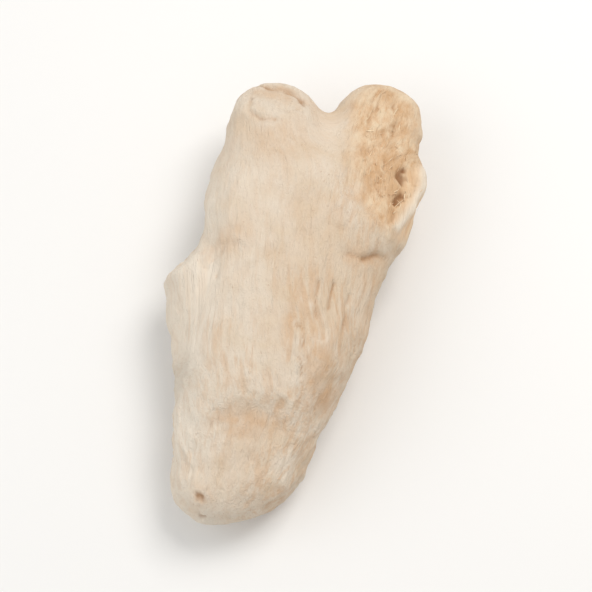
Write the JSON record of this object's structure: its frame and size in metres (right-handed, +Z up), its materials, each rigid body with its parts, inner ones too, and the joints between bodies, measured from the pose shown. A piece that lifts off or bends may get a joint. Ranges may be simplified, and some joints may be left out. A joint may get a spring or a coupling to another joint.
{
  "type": "dried ginger root",
  "caption": "Piece of whole dried ginger rhizome, scraped and knobbly, with stub fingers and a snapped end, lying on its pared underside.",
  "frame": {"origin": "middle of the bounding box's base, on the surface the root lies on", "axes": "+Y along the root's length, from the rounded heel to the stub fingers; +Z up, away from the surface; +X towards the snapped finger"},
  "size_m": [0.0248, 0.0422, 0.0125],
  "materials": {
    "dried_ginger": "matt and dusty, scraped pale beige flesh with tan fibre streaks, brown rind left in the creases and a rough straw-coloured snapped end"
  },
  "bodies": {
    "root": {"ginger_root": "dried_ginger"}
  },
  "joints": []
}
